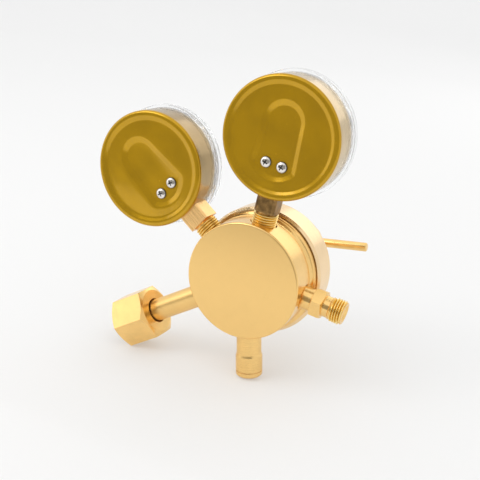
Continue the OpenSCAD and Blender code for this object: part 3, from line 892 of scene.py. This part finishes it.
def studio():
    tilt, low = standing_up()
    pale_floor(tilt, low)
    world = bpy.data.worlds.new("studio")
    bpy.context.scene.world = world
    world.use_nodes = True
    glow(world.node_tree)
    softbox("key", (0.55, 0.70, 0.85), (0, 0, 0), 0.6, 2.6, (1.0, 0.985, 0.96))
    softbox("left", (0.98, 0.54, 0.40), (0, 0, 0.02), 0.7, 0.9, (1.0, 0.99, 0.97))
    softbox("behind", (-0.30, -1.5, 0.72), (0, 0, 0), 1.0, 1.8, (1.0, 0.99, 0.97))
    upright = Matrix.Rotation(math.pi / 2, 4, "X")
    level = Matrix.Rotation(-tilt, 4, "Y")
    bright = level @ Vector((0.08, 0.17, low + 0.002))
    greys = (0.28, 0.27, 0.24), (0.32, 0.31, 0.28)
    # Painted reflections: the grey card darkens what the broad faces reflect, and the white card by the
    # floor brightens it.
    reflected_card("grey_card", (0.80, 0.30), (0.02, 0.30, 0.08), upright, *greys)
    reflected_card("bright_card", (0.26, 0.16), bright, level, (0.98, 0.98, 0.97), (1.0, 1.0, 1.0))


def camera():
    data = bpy.data.cameras.new("camera")
    holder = bpy.data.objects.new("camera", data)
    bpy.context.scene.collection.objects.link(holder)
    data.sensor_width = 36.0
    data.lens = 59.56
    data.clip_start, data.clip_end = 0.01, 20.0
    holder.location = (-0.168952, 0.358737, 0.125451)
    holder.rotation_euler = [math.radians(a) for a in (75.4605, 0.2635, -154.7765)]
    bpy.context.scene.camera = holder
    bpy.context.scene.view_settings.view_transform = "Standard"


# ---------------------------------------------------------------- assembly


def assign(nodes, material):
    for node in nodes:
        slots = frame["nodes"][node].data.materials
        slots.clear()
        slots.append(material)


def outside(body_axis, inlet_frame, outlet_frame, relief_frame):
    """The brass parts that show: body, bonnet, fittings, screw and tee bar."""
    body_brass = turned_metal("turned body brass", BRASS, body_axis, 0.24, spread=0.05, satin=0.07)
    softened("body", body_brass)
    bonnet_brass = turned_metal("bright bonnet brass", BRIGHT_BRASS, body_axis, 0.24, 0.6)
    softened("bonnet", bonnet_brass, width=0.2)
    softened("inlet_nipple", turned_metal("turned inlet brass", BRASS, inlet_frame, 0.32))
    nut_brass = drawn_metal("drawn nut brass", BRASS, inlet_frame, 0.22)
    softened("inlet_nut", nut_brass, "inlet_nut", 0.25, 20, (inlet_frame, NUT_R, NUT_ROOT_R))
    outlet_brass = turned_metal("turned outlet brass", BRASS, outlet_frame, 0.24)
    outlet_core = (outlet_frame, PORT_R, THREAD_ROOT_R)
    softened("outlet_fitting", outlet_brass, width=0.12, sharp=25, core=outlet_core)
    relief_brass = turned_metal("turned relief brass", BRASS, relief_frame, 0.28)
    softened("relief_body", relief_brass)
    softened("relief_cap", relief_brass)
    screw_brass = turned_metal("turned screw brass", BRASS, body_axis, 0.26)
    screw_core = (body_axis, SCREW_R, SCREW_ROOT_R)
    softened("adjusting_screw", screw_brass, "screw", core=screw_core)
    bar_frame = Matrix.Translation(middle("tee_bar")) @ Matrix.Rotation(math.pi / 2, 4, "Y")
    softened("tee_bar", drawn_metal("tee bar brass", BRASS, bar_frame, 0.24), "screw")


def threads(body_axis, inlet_frame, outlet_frame, nut_thread_mid):
    """The ridges of the outlet's, the screw's and the nut's threads."""
    outlet_brass = thread_metal("outlet thread brass", outlet_frame, ROOT_PAINTED_SHADE_R, CREST_UNSHADED_R)
    thread_ridge(
        "outlet_thread_ridge", "regulator", "turned_brass", outlet_brass, outlet_frame,
        THREAD_ROOT_R, PORT_R - SHY, *OUTLET_THREAD, PORT_PITCH,
    )
    screw_brass = thread_metal("screw thread brass", body_axis, SCREW_ROOT_R, SCREW_R)
    head = -middle("tee_bar").y - SCREW_HEAD_HALF
    thread_ridge(
        "screw_thread_ridge", "screw", "turned_brass", screw_brass, body_axis,
        SCREW_ROOT_R, SCREW_R - SHY, SCREW_THREAD_START, head, SCREW_PITCH, flat=0.2,
    )
    nut_brass = thread_metal("nut thread brass", inlet_frame, NUT_R, NUT_ROOT_R)
    start, end = nut_thread_mid - NUT_THREAD_HALF, nut_thread_mid + NUT_THREAD_HALF
    thread_ridge(
        "nut_thread_ridge", "inlet_nut", "turned_brass", nut_brass, inlet_frame,
        NUT_ROOT_R, NUT_R + SHY, start, end, NUT_PITCH, inside=True,
    )


def inside(body_axis, steel, rubber):
    """The parts that the body and the bonnet hide."""
    inner_brass = turned_metal("machined inner brass", shade(BRASS, 0.85), body_axis, 0.3)
    assign(["slip_ring", "diaphragm_pusher", "seat_nozzle", "poppet", "relief_poppet"], inner_brass)
    assign(["spring_button", "diaphragm_plate"], steel)
    assign(["diaphragm", "nozzle_seal", "relief_seal"], rubber)
    assign(["poppet_seat"], moulded("white nylon", (0.78, 0.75, 0.66), 0.45))
    assign(["inlet_filter"], sintered("sintered bronze"))
    spring = spring_steel("oiled spring steel")
    pressed("range_spring", spring, "screw_feed", (0, 1, 0))
    pressed("poppet_spring", spring, "poppet_lift", (0, 1, 0))
    pressed("relief_spring", spring, "relief_lift", (0, 0, 1))


def gauges(steel, rubber):
    clear = clear_plastic("clear moulded plastic")
    white = printed("dial white", (0.85, 0.85, 0.83), 0.5)
    black = printed("black print", (0.02, 0.02, 0.02), 0.45)
    red = printed("red print", (0.62, 0.04, 0.03), 0.45)
    movement = plated("stamped movement brass", (0.74, 0.52, 0.22), 0.3)
    tube = plated("drawn tube bronze", (0.60, 0.36, 0.16), 0.3)
    for gauge, top in ((Gauge("supply"), 25), (Gauge("delivery"), 10)):
        name = gauge.name
        gauge_case(gauge)
        gauge_lens(gauge, clear)
        dial_marks(gauge, black, red, top)
        gauge_stem(gauge)
        assign([f"{name}_back_screws"], screw_nickel(f"{name} screw nickel", gauge))
        assign([f"{name}_lens_gasket"], rubber)
        assign([f"{name}_dial"], white)
        assign([f"{name}_pointer"], black)
        stamped = ("pinion_staff", "sector", "back_plate", "front_plate", "pillars")
        assign([f"{name}_{part}" for part in stamped], movement)
        assign([f"{name}_bourdon_tube"], tube)
        assign([f"{name}_link"], steel)


def main():
    camera()
    studio()
    inlet, outlet = mount("inlet_nut_thread"), mount("outlet_thread")
    body_axis = forward_frame()
    inlet_frame = port_frame(angle_of(inlet["axis"]), -inlet["pos_m"][1])
    outlet_frame = port_frame(angle_of(outlet["axis"]), -outlet["pos_m"][1])
    relief_frame = port_frame(math.pi, -middle("relief_body").y)
    steel = plated("zinc plated steel", (0.56, 0.56, 0.57), 0.3)
    rubber = moulded("black rubber", (0.025, 0.025, 0.027), 0.6)
    outside(body_axis, inlet_frame, outlet_frame, relief_frame)
    inside(body_axis, steel, rubber)
    nut_thread_mid = math.hypot(inlet["pos_m"][0], inlet["pos_m"][2])
    threads(body_axis, inlet_frame, outlet_frame, nut_thread_mid)
    gauges(steel, rubber)


main()
